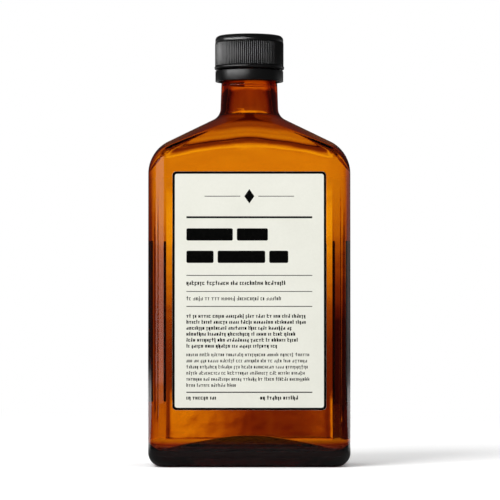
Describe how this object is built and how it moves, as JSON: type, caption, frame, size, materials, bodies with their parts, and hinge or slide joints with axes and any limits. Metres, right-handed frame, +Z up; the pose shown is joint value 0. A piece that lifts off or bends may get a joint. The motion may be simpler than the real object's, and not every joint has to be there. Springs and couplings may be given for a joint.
{
  "type": "mouthwash bottle",
  "caption": "Flat rectangular amber glass bottle with sloping shoulders, a short neck, a ribbed black screw cap with a tamper band, and paper labels.",
  "frame": {"origin": "middle of the base, on the plane that the bottle stands on", "axes": "+Z up along the neck, -Y out of the front label, +X to the right as seen from the front"},
  "size_m": [0.09, 0.0478, 0.193],
  "materials": {
    "amber_glass": "clear amber glass, glossy",
    "liquid": "clear brownish liquid",
    "label_paper": "cream paper with black printing",
    "cap_plastic": "black moulded polypropylene, semi-gloss",
    "liner_foam": "white foam disc",
    "band_plastic": "black moulded polypropylene, semi-gloss"
  },
  "bodies": {
    "bottle_body": {"bottle": "amber_glass", "mouthwash": "liquid", "front_label": "label_paper", "back_label": "label_paper"},
    "liner_body": {"cap_liner": "liner_foam"},
    "cap_body": {"cap_shell": "cap_plastic"},
    "band_body": {"tamper_band": "band_plastic"}
  },
  "joints": [
    {"name": "cap_lift", "type": "slide", "parent": "bottle_body", "child": "liner_body", "axis": [0, 0, 1], "range_m": [0, 0.01435]},
    {"name": "cap_turn", "type": "hinge", "parent": "liner_body", "child": "cap_body", "pos_m": [0, 0, 0.185], "axis": [0, 0, 1], "range_deg": [0, 1620]},
    {"name": "band_turn", "type": "hinge", "parent": "bottle_body", "child": "band_body", "pos_m": [0, 0, 0.175], "axis": [0, 0, 1], "continuous": true}
  ],
  "couplings": [
    {"joint": "cap_lift", "follows": "cap_turn", "m_per_rad": 0.00050611}
  ]
}
